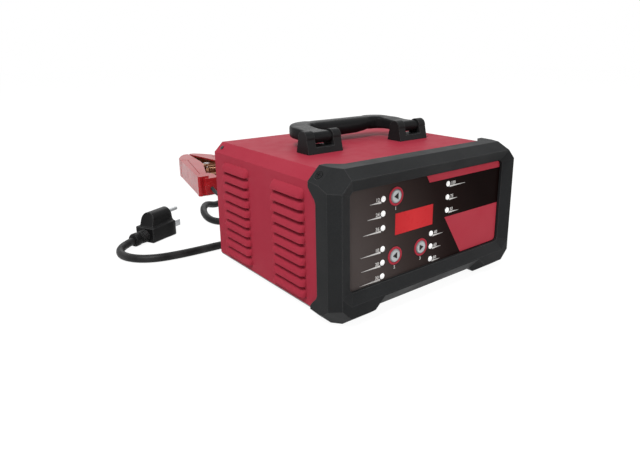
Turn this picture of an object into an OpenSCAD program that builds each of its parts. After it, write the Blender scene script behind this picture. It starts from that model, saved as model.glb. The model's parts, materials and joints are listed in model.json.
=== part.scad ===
// Bench battery charger for cars: a red steel cabinet with pressed louvres, a faceted
// bumper bezel around a recessed control panel, a carry handle that folds flat, a rear
// fan, a mains lead with a three-pin plug and a positive lead with an insulated clamp.
// X runs across the front, Y runs to the back, and Z = 0 is the bench.

/* [Cabinet] */
// Width of the steel cover
cover_w = 240; // [236:1:246]
// Depth from the front ridge of the bezel to the back of the cover
overall_d = 220; // [218:1:226]
// Height of the top of the cover above the bench
cover_top = 136; // [134:0.5:138]
// Height of the bottom edge of the cover above the bench
cover_lift = 9; // [9:0.25:10]
// Size of the slanted corner along each top edge
corner_cut = 10; // [9:0.5:11]
// Thickness of the cover's sheet steel
sheet_t = 1.2; // [1:0.1:1.4]
// Thickness of the base plate
base_t = 1.5; // [1.2:0.1:1.6]

/* [Louvres] */
// Number of louvres in each column
louvre_count = 10; // [4:1:10]
// Distance between one louvre and the next
louvre_pitch = 10.4; // [9.2:0.1:10.4]
// Length of a louvre
louvre_l = 52.5; // [40:0.5:53]
// Height of a louvre's hood
louvre_h = 8.6; // [7.6:0.1:8.8]
// How far a hood stands out from the cover
louvre_proud = 5; // [4.7:0.1:5.2]
// Height of the lowest louvre's lip
louvre_z = 16; // [15:0.1:20]

/* [Bezel] */
// How far the bezel stands out beyond the cover
bezel_proud = 3.6; // [3.2:0.1:4]
// Depth of the bezel at its corner ears
ear_d = 39; // [37:0.5:42]
// Depth of the bezel between the ears
waist_d = 28.5; // [27:0.5:31]
// Half width of the window over the control panel
window_hw = 105; // [103:0.5:106]
// Height of the window's bottom edge
window_z0 = 30.5; // [29:0.5:32]
// Height of the window's top edge
window_z1 = 121.5; // [119:0.5:122]

/* [Handle] */
// Distance from the middle of the cabinet to the middle of each bracket
bracket_x = 61.7; // [58:0.1:66]
// Width of a bracket
bracket_w = 42; // [41:0.5:44]
// Distance from the front ridge of the bezel to the handle's pivot
pivot_from_front = 104.5; // [96:0.5:112]
// Height of the pivot above the cover
pivot_h = 14.7; // [14.2:0.1:15.2]
// Distance from the pivot to the middle of the grip
handle_reach = 48; // [44:0.5:54]
// Diameter of the handle pins
pin_d = 5; // [4:0.1:5.5]

/* [Control panel] */
// Diameter of a button cap
button_d = 12.8; // [11:0.1:13]
// How far a button travels
button_travel = 1; // [0.6:0.1:1.2]
// Diameter of an indicator lens
led_d = 5.4; // [4:0.1:5.6]
// Width of the display window
display_w = 50.4; // [44:0.2:51]
// Height of the display window
display_h = 20.6; // [16:0.2:21]

/* [Leads] */
// Diameter of the mains lead
mains_d = 9.5; // [8:0.1:9.5]
// Diameter of the positive lead
lead_d = 6; // [5:0.1:6]

/* [Clamp] */
// Height of the clamp's shells
clamp_h = 33; // [31:0.5:34]
// Length of the clamp from handle end to jaw tip
clamp_l = 200; // [196:1:204]

/* [Hidden] */
$fn = 48;

// Main planes
front_y = -overall_d / 2;
rear_y = overall_d / 2;
cover_hw = cover_w / 2;
cover_front_y = front_y + 24.5;
base_z = cover_lift - base_t;
bezel_hw = cover_hw + bezel_proud;
bezel_top = cover_top + bezel_proud + 0.5;

// Colours
red_paint = "#A8323C";
black_plastic = "#2C2D2E";
black_rubber = "#1B1B1C";
steel = "#B9BBBD";
dark_steel = "#55585B";
copper = "#B5764C";
board_green = "#1E5A38";

// ---------------------------------------------------------------- helpers

// A flat outline drawn in X and Z, standing from y0 to y1
module along_y(y0, y1)
    translate([0, y1, 0])
        rotate([90, 0, 0])
            linear_extrude(y1 - y0)
                children();

// A flat outline drawn in Y and Z, standing from x0 to x1
module along_x(x0, x1)
    translate([x0, 0, 0])
        rotate([90, 0, 90])
            linear_extrude(x1 - x0)
                children();

// A round bar along Y
module rod_y(d, y0, y1)
    translate([0, y0, 0])
        rotate([-90, 0, 0])
            cylinder(d = d, h = y1 - y0);

// A round bar along X
module rod_x(d, x0, x1)
    translate([x0, 0, 0])
        rotate([0, 90, 0])
            cylinder(d = d, h = x1 - x0);

// The left and right copy of a shape
module both_sides() {
    children();
    mirror([1, 0, 0]) children();
}

module rounded_rect(w, h, r) {
    translate([-w / 2 + r, -h / 2]) square([w - 2 * r, h]);
    translate([-w / 2, -h / 2 + r]) square([w, h - 2 * r]);
    for (sx = [-1, 1], sz = [-1, 1])
        translate([sx * (w / 2 - r), sz * (h / 2 - r)]) circle(r);
}

// An upright rectangle with its top corners cut by ct and its bottom corners by cb
function octagon(hw, z0, z1, ct, cb) = [
    [-hw + cb, z0], [hw - cb, z0], [hw, z0 + cb], [hw, z1 - ct],
    [hw - ct, z1], [-hw + ct, z1], [-hw, z1 - ct], [-hw, z0 + cb]
];

// ---------------------------------------------------------------- cabinet

// The cover's section: two sides and a top joined by slanted corners
module cover_section(grow, z0) {
    hw = cover_hw + grow;
    top = cover_top + grow;
    cut = corner_cut + grow * (2 - sqrt(2));
    polygon([[-hw, z0], [hw, z0], [hw, top - cut], [hw - cut, top], [-hw + cut, top], [-hw, top - cut]]);
}

louvre_ys = [front_y + 75.5, front_y + 173.3];
louvre_end_r = 4.6;
// A hood is part of a wide bar whose axis lies inside the cover, level with the hood's lip
louvre_r = (louvre_h * louvre_h + louvre_proud * louvre_proud) / (2 * louvre_proud);
louvre_depth = louvre_r - louvre_proud;

function louvre_height(i) = louvre_z + i * louvre_pitch;

// Half of a long outline with rounded outer corners, from the turning axis outward
module louvre_profile(r, l, end_r) {
    translate([0, -l / 2]) square([r - end_r, l]);
    translate([0, -l / 2 + end_r]) square([r, l - 2 * end_r]);
    for (s = [-1, 1]) translate([r - end_r, s * (l / 2 - end_r)]) circle(end_r);
}

// One pressed louvre: a turned shell, open underneath, of which only the part outside is kept
module louvre_hood()
    intersection() {
        rotate([90, 0, 0])
            rotate_extrude(angle = 90)
                difference() {
                    louvre_profile(louvre_r, louvre_l, louvre_end_r);
                    louvre_profile(louvre_r - sheet_t, louvre_l - 2 * sheet_t, louvre_end_r - sheet_t);
                }
        translate([louvre_depth - sheet_t, -louvre_l / 2 - 1, -1]) cube([louvre_r, louvre_l + 2, louvre_r + 2]);
    }

module louvre_slot()
    translate([louvre_depth - sheet_t - 1, -louvre_l / 2 + louvre_end_r, 0])
        cube([sheet_t + 2, louvre_l - 2 * louvre_end_r, louvre_h / 2]);

module at_louvres()
    for (y = louvre_ys, i = [0:louvre_count - 1])
        translate([cover_hw - louvre_depth, y, louvre_height(i)]) children();

chamfer_mid = corner_cut / 2;

// Turned so that Z points squarely out of the right slanted corner
module on_slant(y, out)
    translate([cover_hw - chamfer_mid, y, cover_top - chamfer_mid])
        rotate([0, 45, 0])
            translate([0, 0, out])
                children();

module cabinet_cover()
    color(red_paint)
        union() {
            difference() {
                along_y(cover_front_y, rear_y)
                    difference() {
                        cover_section(0, cover_lift);
                        cover_section(-sheet_t, cover_lift - 1);
                    }
                both_sides() at_louvres() louvre_slot();
                both_sides() on_slant(ear_screw_y, -3) cylinder(d = 4.3, h = 6);
                both_sides() on_slant(cover_screw_y, -3) cylinder(d = cover_screw_d + 0.2, h = 6);
                for (x = handle_screw_xs)
                    translate([x, pivot_y, cover_top - 3]) cylinder(d = 4.3, h = 6);
            }
            both_sides() at_louvres() louvre_hood();
        }

base_flange_h = 15;

module base_plate()
    color(dark_steel)
        difference() {
            union() {
                translate([-cover_hw + 0.5, cover_front_y, base_z])
                    cube([cover_w - 1, rear_y - cover_front_y - 0.5, base_t]);
                both_sides()
                    translate([cover_hw - sheet_t - 0.4 - base_t, cover_front_y + 8, cover_lift - 0.1])
                        cube([base_t, overall_d - 54, base_flange_h]);
            }
            for (x = foot_xs) translate([x, foot_y, 0]) cylinder(d = 4.2, h = 20);
            for (i = [-3:3])
                translate([i * 14 - 2, -20, 0]) cube([4, 70, 20]);
        }

panel_gap = 0.3;
rear_panel_y = rear_y - 4.5;
rear_panel_t = 1.5;
panel_out_y = rear_panel_y + rear_panel_t;
rear_flange_d = 12;
fan_x = -52;
fan_z = 84;
fan_size = 80;
fan_hole = 71.5 / 2;
gland_z = 30;
mains_gland_x = 92;
positive_gland_x = 109.5;
negative_gland_x = 70;

module rear_panel()
    color("#3A3C3E")
        difference() {
            union() {
                along_y(rear_panel_y, rear_panel_y + rear_panel_t)
                    cover_section(-sheet_t - panel_gap, cover_lift);
                along_y(rear_panel_y - rear_flange_d, rear_panel_y + 0.1)
                    difference() {
                        cover_section(-sheet_t - panel_gap, cover_lift);
                        cover_section(-sheet_t - panel_gap - rear_panel_t, cover_lift + rear_panel_t);
                    }
            }
            translate([fan_x, 0, fan_z]) rod_y(76, rear_panel_y - 1, rear_y);
            for (sx = [-1, 1], sz = [-1, 1])
                translate([fan_x + sx * fan_hole, 0, fan_z + sz * fan_hole])
                    rod_y(4.3, rear_panel_y - 1, rear_y);
            translate([mains_gland_x, 0, gland_z]) rod_y(14, rear_panel_y - 1, rear_y);
            for (x = [positive_gland_x, negative_gland_x])
                translate([x, 0, gland_z]) rod_y(10, rear_panel_y - 1, rear_y);
            for (i = [0:7])
                translate([64, 0, 56 + i * 8])
                    along_y(rear_panel_y - 1, rear_y) rounded_rect(72, 3.4, 1.6);
            both_sides() on_slant(cover_screw_y, -6) cylinder(d = cover_screw_d + 0.1, h = 8);
        }

module screw_with_head(d, l, head_d, head_h) {
    translate([0, 0, -l]) cylinder(d = d, h = l + 0.1);
    difference() {
        cylinder(d = head_d, h = head_h);
        for (a = [0, 90])
            rotate([0, 0, a]) translate([-head_d * 0.3, -0.4, head_h - 0.6]) cube([head_d * 0.6, 0.8, 2]);
    }
}

cover_screw_y = rear_y - 9;
cover_screw_d = 3;

module cover_screws()
    color(dark_steel)
        both_sides() on_slant(cover_screw_y, 0) screw_with_head(cover_screw_d, 8, 4.6, 0.9);

foot_xs = [-92, 92];
foot_y = rear_y - 26;

module rear_feet()
    color(black_rubber)
        for (x = foot_xs)
            translate([x, foot_y, 0])
                difference() {
                    union() {
                        cylinder(d1 = 17, d2 = 20, h = base_z);
                        cylinder(d = 4.1, h = cover_lift + 0.5);
                        translate([0, 0, cover_lift]) cylinder(d = 7, h = 1.5);
                    }
                    translate([0, 0, -1]) cylinder(d = 8, h = 4);
                }

// ---------------------------------------------------------------- bezel

ridge_hw = cover_hw - 2.4;
ridge_top = cover_top - 3.4;
ridge_z0 = 9.4;
slice = 0.02;
seat_gap = 0.2;

// The bezel's outline at a distance y behind its front ridge
module bezel_slice(y, hw, z0, z1, ct, cb)
    along_y(front_y + y, front_y + y + slice)
        polygon(octagon(hw, z0, z1, ct, cb));

// Eight-sided nose: long bevels on the straight edges and a hexagon facet on each corner
module bezel_body()
    hull() {
        bezel_slice(0, ridge_hw, ridge_z0, ridge_top, 10.1, 10.1);
        bezel_slice(12.7, bezel_hw, 0, bezel_top, 18.4, 15.9);
        bezel_slice(21.1, bezel_hw, 0, bezel_top, 15.2, 9.5);
        bezel_slice(24.3, bezel_hw, 0, bezel_top, 13.9, 9.5);
        bezel_slice(ear_d - slice, bezel_hw, 0, bezel_top, ear_cut, 9.5);
    }

// Side view of the material cut away between two ears; the steps slope at about 45 degrees
module waist_outline(a, b)
    polygon([
        [front_y + waist_d, a + 13], [front_y + waist_d + 1.5, a + 9.5], [front_y + ear_d - 2, a + 2.5],
        [front_y + ear_d, a], [front_y + ear_d + 1, a], [front_y + ear_d + 1, b],
        [front_y + ear_d, b], [front_y + ear_d - 2, b - 2.5], [front_y + waist_d + 1.5, b - 9.5],
        [front_y + waist_d, b - 13]
    ]);

window_slope_d = 5.5;
panel_y = front_y + 8.4;
panel_t = 3;
panel_mid_z = (window_z0 + window_z1) / 2;
pocket_w = 220;
pocket_h = 102;

module window_rect(grow)
    translate([0, panel_mid_z])
        rounded_rect(2 * window_hw + 2 * grow, window_z1 - window_z0 + 2 * grow, 5 + grow / 2);

// Sloping sides of the window, deepest at the panel
module window_slope()
    hull() {
        along_y(front_y - 0.02, front_y)
            polygon(octagon(ridge_hw - 0.8, window_z0 - 9.5, ridge_top - 0.8, 9.4, 9.4));
        along_y(front_y + window_slope_d, front_y + window_slope_d + 0.02)
            polygon(octagon(window_hw, window_z0, window_z1, 3.5, 3.5));
    }

// The raised bottom edge between the two front feet, with its sloping front
module foot_gap() {
    inner = [[-76, -1], [-68, 5.5], [68, 5.5], [76, -1]];
    hull() {
        along_y(front_y - 0.5, front_y + 0.4)
            polygon([[-84, -1], [-80, 9], [-68, 19.6], [68, 19.6], [80, 9], [84, -1]]);
        along_y(front_y + 12.2, front_y + 12.4) polygon(inner);
    }
    along_y(front_y + 12.3, front_y + ear_d + 1) polygon(inner);
}

ear_screw_y = front_y + 31.5;
ear_cut = 12.4;
ear_face_out = (2 * bezel_proud + 0.5 - ear_cut + corner_cut) / sqrt(2);
ear_recess = 1.5;
ear_recess_d = 9;

module front_bezel()
    color(black_plastic)
        difference() {
            bezel_body();
            // Seat for the cabinet's front edge
            along_y(cover_front_y, front_y + ear_d + 1) cover_section(seat_gap, base_z - seat_gap);
            // Pocket behind the window
            along_y(panel_y, cover_front_y)
                translate([0, panel_mid_z]) rounded_rect(pocket_w, pocket_h, 6);
            along_y(front_y - 1, panel_y + 1) window_rect(0);
            window_slope();
            // Waists between the ears
            along_x(-bezel_hw - 1, bezel_hw + 1) waist_outline(13, 122.5);
            top_waist();
            foot_gap();
            both_sides() on_slant(ear_screw_y, -2) {
                cylinder(d = 4.4, h = 12);
                translate([0, 0, ear_face_out - ear_recess]) cylinder(d = ear_recess_d, h = 8);
            }
        }

// The same waist cut through the top edge, seen from above
module top_waist()
    translate([0, 0, 60])
        linear_extrude(100)
            mirror([1, -1])
                waist_outline(-104, 104);

module bezel_screws()
    color(dark_steel)
        both_sides()
            on_slant(ear_screw_y, ear_face_out - ear_recess)
                screw_with_head(4, 9, ear_recess_d - 0.8, 1);

// ---------------------------------------------------------------- control panel

panel_back = panel_y + panel_t;
left_led_x = -64.6;
middle_led_x = -0.4;
right_led_x = 21.6;
led_rows_upper = [108, 94.6, 81.2];
led_rows_lower = [61.4, 48.2, 35];
led_places = concat(
    [for (z = led_rows_upper) [left_led_x, z]],
    [for (z = led_rows_lower) [left_led_x, z]],
    [for (z = led_rows_lower) [middle_led_x, z + 0.4]],
    [for (z = led_rows_upper) [right_led_x, z]]
);
button_mode_at = [-49.2, 108];
button_back_at = [-49.2, 51.3];
button_next_at = [-14.8, 51.3];
button_places = [button_mode_at, button_back_at, button_next_at];
display_at = [-24.2, 81.2];

module at_places(places)
    for (p = places) translate([p[0], 0, p[1]]) children();

module front_panel()
    color("#2A2120")
        difference() {
            along_y(panel_y, panel_back)
                translate([0, panel_mid_z]) rounded_rect(pocket_w - 0.6, pocket_h - 0.6, 5.7);
            at_places(button_places) rod_y(button_d + 0.2, panel_y - 1, panel_back + 1);
            at_places(led_places) rod_y(led_d + 0.1, panel_y - 1, panel_back + 1);
            along_y(panel_y - 1, panel_back + 1)
                translate(display_at) square([display_w, display_h], center = true);
        }

trim_t = 0.25;

// Red stripe along the top right and red field at the bottom right
module panel_trim()
    color(red_paint)
        along_y(panel_y - trim_t, panel_y)
            intersection() {
                window_rect(-1.2);
                union() {
                    polygon([[-10.4, 122], [-5.2, 113.4], [110, 113.4], [110, 122]]);
                    polygon([[18.3, 74.4], [46.4, 30], [110, 30], [110, 74.4]]);
                }
            }

module display_window()
    color([0.82, 0.2, 0.2, 0.8])
        along_y(panel_y - 0.1, panel_y + 2)
            translate(display_at) square([display_w - 0.2, display_h - 0.2], center = true);

module display_module()
    color("#151515")
        along_y(panel_y + 2, board_y)
            translate(display_at) square([display_w - 2, display_h - 1.4], center = true);

module button_rings()
    color(red_paint)
        at_places(button_places)
            difference() {
                rod_y(17.2, panel_y - 0.7, panel_y);
                rod_y(button_d + 0.6, panel_y - 1, panel_y + 1);
            }

// A cap with a dished face and a collar that keeps it behind the panel
module button_cap(at)
    color("#D8DADC")
        translate([at[0], panel_y - 1.2, at[1]])
            rotate([-90, 0, 0])
                rotate_extrude()
                    polygon([
                        [0, 0.35], [button_d / 2 - 2, 0.15], [button_d / 2 - 0.7, 0], [button_d / 2, 0.6],
                        [button_d / 2, panel_t + 1.3], [button_d / 2 + 1.4, panel_t + 1.3],
                        [button_d / 2 + 1.4, panel_t + 2.4], [0, panel_t + 2.4]
                    ]);

module button_mode() button_cap(button_mode_at);
module button_back() button_cap(button_back_at);
module button_next() button_cap(button_next_at);

module indicator_lenses()
    color("white")
        at_places(led_places)
            translate([0, panel_y, 0])
                rotate([-90, 0, 0]) {
                    cylinder(d = led_d, h = panel_t + 1.5);
                    translate([0, 0, panel_t]) cylinder(d = led_d + 1.4, h = 1.2);
                    intersection() {
                        translate([0, 0, 2.4]) sphere(d = 7.6);
                        translate([0, 0, -2]) cylinder(d = led_d, h = 3);
                    }
                }

board_y = panel_back + 8;
board_t = 1.6;
board_post_places = [[-96, 36], [96, 36], [-96, 116], [96, 116]];

module control_board()
    color(board_green)
        difference() {
            along_y(board_y, board_y + board_t)
                translate([0, panel_mid_z]) square([204, 92], center = true);
            at_places(board_post_places) rod_y(3, board_y - 1, board_y + 3);
        }

module control_board_posts()
    color(steel)
        at_places(board_post_places) {
            rod_y(6, panel_back, board_y);
            rod_y(2.9, board_y - 0.5, board_y + board_t);
            rod_y(5.4, board_y + board_t, board_y + board_t + 2);
        }

module tact_switches()
    color("#202020")
        at_places(button_places) {
            translate([-3, board_y - 3.6, -3]) cube([6, 3.6, 6]);
            rod_y(3.4, panel_back + 1.4 + button_travel, board_y - 3);
        }

// ---------------------------------------------------------------- handle

pivot_y = front_y + pivot_from_front;
pivot_z = cover_top + pivot_h;
bracket_d = 21;
ear_t = 9.8;
ear_top_r = 7.3;
bracket_foot_h = 6.3;
knuckle_d = 11.6;
blind_t = 2.8;
knuckle_w = bracket_w - 2 * ear_t - 0.6;
handle_screw_xs = [for (s = [-1, 1], e = [-1, 1]) s * bracket_x + e * (bracket_w - ear_t) / 2];

// Side view of an ear: leaning sides that run into a round top
module ear_outline() {
    side = ear_top_r - 0.25;
    translate([pivot_y, pivot_z]) {
        circle(ear_top_r);
        polygon([[-bracket_d / 2, -pivot_h], [bracket_d / 2, -pivot_h], [side, 0], [-side, 0]]);
    }
}

// Two ears on a foot, with a bore for the pin that stops short of the left face
module bracket()
    color(black_plastic)
        difference() {
            along_x(-bracket_w / 2, bracket_w / 2) ear_outline();
            translate([-bracket_w / 2 + ear_t, pivot_y - bracket_d, cover_top + bracket_foot_h])
                cube([bracket_w - 2 * ear_t, 2 * bracket_d, 40]);
            translate([0, pivot_y, pivot_z]) rod_x(pin_d + 0.04, -bracket_w / 2 + blind_t, bracket_w);
            for (e = [-1, 1])
                translate([e * (bracket_w - ear_t) / 2, pivot_y, cover_top - 1]) cylinder(d = 4.1, h = 8);
        }

module handle_bracket_left() translate([-bracket_x, 0, 0]) bracket();
module handle_bracket_right() translate([bracket_x, 0, 0]) bracket();

module handle_pins()
    color(steel)
        for (s = [-1, 1])
            translate([s * bracket_x, pivot_y, pivot_z])
                rod_x(pin_d, -bracket_w / 2 + blind_t + 0.2, bracket_w / 2 - 0.6);

module handle_screws()
    color(dark_steel)
        for (x = handle_screw_xs)
            translate([x, pivot_y, cover_top - sheet_t]) {
                translate([0, 0, -2.4]) cylinder(d = 7.4, h = 2.4);
                translate([0, 0, -0.1]) cylinder(d = 4, h = sheet_t + 6.6);
            }

grip_y = pivot_y + handle_reach;
grip_d = 26;
grip_h = 16;
grip_z = pivot_z + 0.6;
arm_in = bracket_x - knuckle_w / 2;
arm_out = bracket_x + knuckle_w / 2;
arm_h = knuckle_d;
arm_z0 = pivot_z - arm_h / 2;
corner_r = 29;
handle_back = grip_y + grip_d / 2;
corner_at = [arm_out - corner_r, handle_back - corner_r];

// Half of the handle's outline from above: an arm that turns into the grip
module handle_plan()
    difference() {
        union() {
            translate([arm_in, pivot_y]) square([knuckle_w, corner_at[1] - pivot_y]);
            translate([arm_in - 14, handle_back - grip_d]) square([corner_at[0] - arm_in + 14, grip_d]);
            translate(corner_at)
                intersection() {
                    circle(corner_r);
                    square(corner_r);
                }
        }
        translate([arm_in - 20, handle_back - grip_d - 12]) circle(20);
    }

module grip_section(x, d, h)
    translate([x, grip_y, grip_z])
        rotate([0, 90, 0])
            scale([h / d, 1, 1])
                cylinder(d = d, h = 0.5, center = true, $fn = 32);

module handle()
    color(black_plastic)
        difference() {
            union() {
                both_sides() {
                    translate([0, 0, arm_z0]) linear_extrude(arm_h) handle_plan();
                    translate([0, pivot_y, pivot_z]) rod_x(knuckle_d, arm_in, arm_out);
                    // Lug that stops the handle on the bracket's foot
                    translate([arm_in, pivot_y + 5, cover_top + bracket_foot_h + 0.15])
                        cube([knuckle_w, 4.5, arm_z0 - cover_top - bracket_foot_h]);
                }
                hull() {
                    grip_section(-43, 22, 12.5);
                    grip_section(-24, grip_d, grip_h);
                    grip_section(24, grip_d, grip_h);
                    grip_section(43, 22, 12.5);
                }
            }
            translate([0, pivot_y, pivot_z]) rod_x(pin_d + 0.1, -100, 100);
        }

// ---------------------------------------------------------------- fan

fan_d = 25;
fan_front_y = rear_panel_y - fan_d;
rotor_hub_d = 34;
rotor_d = 73;
blade_count = 7;

module fan_frame()
    color("#1F2022")
        translate([fan_x, 0, fan_z])
            difference() {
                union() {
                    along_y(fan_front_y, rear_panel_y)
                        difference() {
                            rounded_rect(fan_size, fan_size, 4);
                            circle(d = 76);
                        }
                    // Motor seat on three struts
                    rod_y(rotor_hub_d, fan_front_y, fan_front_y + 3);
                    for (a = [30, 150, 270])
                        rotate([0, a, 0])
                            translate([-2.5, fan_front_y, 10]) cube([5, 3, 29]);
                }
                rod_y(4.1, fan_front_y - 1, fan_front_y + 5);
                for (sx = [-1, 1], sz = [-1, 1])
                    translate([sx * fan_hole, 0, sz * fan_hole])
                        rod_y(4.3, fan_front_y - 1, rear_panel_y + 1);
            }

// A pitched blade between the hub and the tip
module fan_blade()
    translate([0, fan_front_y + 14, 0])
        intersection() {
            translate([0, 0, rotor_hub_d / 2 - 1])
                rotate([0, 0, 38])
                    translate([-13, -0.8, 0]) cube([26, 1.6, 22]);
            rod_y(rotor_d, -9, 9);
        }

module fan_rotor()
    color("#26282A")
        translate([fan_x, 0, fan_z]) {
            rod_y(rotor_hub_d, fan_front_y + 4, fan_front_y + 23);
            rod_y(4, fan_front_y, fan_front_y + 5);
            for (i = [0:blade_count - 1])
                rotate([0, i * 360 / blade_count, 0]) fan_blade();
        }

guard_wire = 1.6;

module fan_guard()
    color(steel)
        translate([fan_x, 0, fan_z]) {
            for (r = [9, 18, 27, 36])
                translate([0, rear_y - 1.2, 0])
                    rotate([90, 0, 0])
                        rotate_extrude() translate([r, 0]) circle(d = guard_wire);
            for (a = [45, 135])
                rotate([0, a, 0])
                    translate([0, rear_y - 2.1, 0])
                        rotate([0, 90, 0]) cylinder(d = guard_wire, h = 94, center = true);
            for (sx = [-1, 1], sz = [-1, 1])
                translate([sx * fan_hole, 0, sz * fan_hole])
                    difference() {
                        rod_y(8, panel_out_y, rear_y - 1.4);
                        rod_y(4.4, rear_y - 4, rear_y);
                    }
        }

module fan_screws()
    color(dark_steel)
        for (sx = [-1, 1], sz = [-1, 1])
            translate([fan_x + sx * fan_hole, 0, fan_z + sz * fan_hole]) {
                rod_y(7.4, rear_y - 1.4, rear_y - 0.1);
                rod_y(4, fan_front_y + 2, rear_y - 1.3);
            }

// ---------------------------------------------------------------- inside

main_board_z = 20;
main_board_places = [[-84, -52], [84, -52], [-84, 58], [84, 58]];

module main_board()
    color(board_green)
        difference() {
            translate([-92, -60, main_board_z]) cube([184, 126, 1.6]);
            for (p = main_board_places) translate([p[0], p[1], main_board_z - 1]) cylinder(d = 3.2, h = 4);
        }

module main_board_posts()
    color(steel)
        for (p = main_board_places)
            translate([p[0], p[1], cover_lift]) {
                cylinder(d = 7, h = main_board_z - cover_lift, $fn = 6);
                cylinder(d = 3.1, h = main_board_z - cover_lift + 1.6);
                translate([0, 0, main_board_z - cover_lift + 1.6]) cylinder(d = 6, h = 2);
            }

board_top = main_board_z + 1.6;

module transformer_core()
    color("#4A4C50")
        translate([-44, -20, board_top])
            difference() {
                translate([-29, -22, 0]) cube([58, 44, 50]);
                for (s = [-1, 1])
                    translate([s * 14.5 - 6.5, -23, 10]) cube([13, 46, 30]);
            }

module transformer_coil()
    color(copper)
        translate([-44, -20, board_top + 10])
            difference() {
                translate([-20.5, -30, 0]) cube([41, 60, 30]);
                translate([-8.2, -22.3, -1]) cube([16.4, 44.6, 32]);
            }

module heat_sinks()
    color("#9EA2A6")
        for (y = [-40, 22])
            translate([30, y, board_top])
                union() {
                    cube([56, 3, 42]);
                    for (i = [0:9])
                        translate([i * 6, 2.9, 0]) cube([1.8, 16, 42]);
                }

module capacitors()
    color("#26303C")
        for (p = [[-74, 38], [-44, 38], [-14, 38]])
            translate([p[0], p[1], board_top])
                difference() {
                    cylinder(d = 25, h = 42);
                    translate([0, 0, 41.2]) cylinder(d = 20, h = 2);
                }

module output_choke()
    color(copper)
        translate([8, -36, board_top]) {
            translate([-10, -6, 0]) cube([20, 12, 3]);
            translate([0, 0, 21.8])
                rotate([90, 0, 0])
                    rotate_extrude() translate([14, 0]) circle(d = 14);
        }

module relay()
    color("#2A3A66")
        translate([2, 4, board_top]) cube([19, 27, 20]);

// ---------------------------------------------------------------- glands

relief_out = 38;

// Ribbed, tapering sleeve around the mains lead; the collar clips through the panel
module mains_strain_relief()
    color(black_rubber)
        translate([mains_gland_x, rear_panel_y, gland_z])
            rotate([-90, 0, 0])
                rotate_extrude()
                    polygon(concat(
                        [[0, -6], [8.4, -6], [8.4, 0], [6.95, 0], [6.95, rear_panel_t], [9.5, rear_panel_t],
                         [9.5, rear_panel_t + 4]],
                        [for (i = [0:5], s = [0:3])
                            [8.2 - i * 0.42 - (s == 1 || s == 2 ? 1.2 : 0), 6.5 + i * 4.8 + [0, 0.4, 2, 2.4][s]]],
                        [[5.8, relief_out + 4.5], [0, relief_out + 4.5]]
                    ));

// A grommet that ends level with the back of the cover
module lead_gland(x, tone)
    color(tone)
        translate([x, rear_panel_y, gland_z])
            rotate([-90, 0, 0])
                rotate_extrude()
                    polygon([
                        [0, -5], [6.2, -5], [6.2, 0], [4.95, 0], [4.95, rear_panel_t], [7, rear_panel_t],
                        [7, rear_panel_t + 1.4], [4.6, rear_y - rear_panel_y], [0, rear_y - rear_panel_y]
                    ]);

module positive_lead_gland() lead_gland(positive_gland_x, red_paint);
module negative_lead_gland() lead_gland(negative_gland_x, black_rubber);

// ---------------------------------------------------------------- leads

// Smooth curve through a list of points
function spline_at(a, b, c, d, t) =
    0.5 * (2 * b + (c - a) * t + (2 * a - 5 * b + 4 * c - d) * t * t + (3 * b - a - 3 * c + d) * t * t * t);

function spline(p, steps) = [
    for (i = [0:len(p) - 2], k = [0:steps - 1])
        spline_at(p[max(i - 1, 0)], p[i], p[i + 1], p[min(i + 2, len(p) - 1)], k / steps),
    p[len(p) - 1]
];

function unit(v) = v / norm(v);

function heading(c, i) = unit(c[min(i + 1, len(c) - 1)] - c[max(i - 1, 0)]);

// One ring of points square to the curve
function ring(c, i, r, sides) =
    let (h = heading(c, i), side = unit(cross(h, [0, 0, 1])), up = cross(side, h))
    [for (k = [0:sides - 1]) c[i] + r * cos(k * 360 / sides) * side + r * sin(k * 360 / sides) * up];

// A closed tube along the curve
module tube(c, d, sides) {
    n = len(c);
    points = [for (i = [0:n - 1]) each ring(c, i, d / 2, sides)];
    walls = [
        for (i = [0:n - 2], k = [0:sides - 1])
            let (k2 = (k + 1) % sides)
            [i * sides + k, (i + 1) * sides + k, (i + 1) * sides + k2, i * sides + k2]
    ];
    ends = [
        [for (k = [0:sides - 1]) k],
        [for (k = [sides - 1:-1:0]) (n - 1) * sides + k]
    ];
    polyhedron(points, concat(walls, ends), convexity = 10);
}

relief_end_y = rear_panel_y + relief_out + 4.5;
mains_coil_at = [37.25, 256];
mains_coil_r = 50;
mains_start_route = [
    [92, 148, 30], [92, 158, 28.6], [92, 170, 23.8], [92, 183, 16.5], [92, 196, 9.8], [92, 210, 5.9],
    [92, 224, 5], [92, 240, 5], [92, 256, 5]
];
mains_route = [
    [37, 310.75, 14.5], [18, 311, 13.5], [0, 308, 11], [-18, 303, 9], [-36, 297, 8],
    [-54, 288, 13], [-66, 273, 12], [-72, 254, 8], [-70, 236, 5], [-60, 220, 5], [-40, 209, 5],
    [-14, 204, 5], [5, 199, 5], [19, 185, 5], [25, 166, 5], [20, 148, 5], [6, 133, 5],
    [-14, 127, 5], [-38, 127, 5], [-62, 131, 5], [-84, 136, 5], [-106, 140, 5], [-132, 141, 5],
    [-158, 143, 5], [-180, 148, 5], [-196, 158, 5], [-206, 173, 5], [-208, 189, 5], [-202, 203, 6.6],
    [-186, 213.5, 8.4]
];
positive_coil_at = [138, 305];
positive_coil_r = 36;
positive_start_route = [
    [109.5, 110, 30], [109.5, 122, 28.5], [109.5, 138, 20], [109.5, 154, 9], [109.5, 170, 3.6],
    [109.5, 192, 3], [109.5, 214, 3], [110.5, 232, 3], [114, 248, 3], [124, 259, 3], [138, 263, 3]
];
positive_route = [
    [138, 347, 9], [114, 347, 8.4], [90, 345.5, 4.5], [62, 343, 3], [36, 342, 3], [14, 342, 3],
    [-1, 346, 4.5], [-7, 355, 9.5], [-8, 366, 15]
];

module mains_lead_start()
    color(black_rubber) tube(spline(mains_start_route, 2), mains_d, 10);

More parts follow.
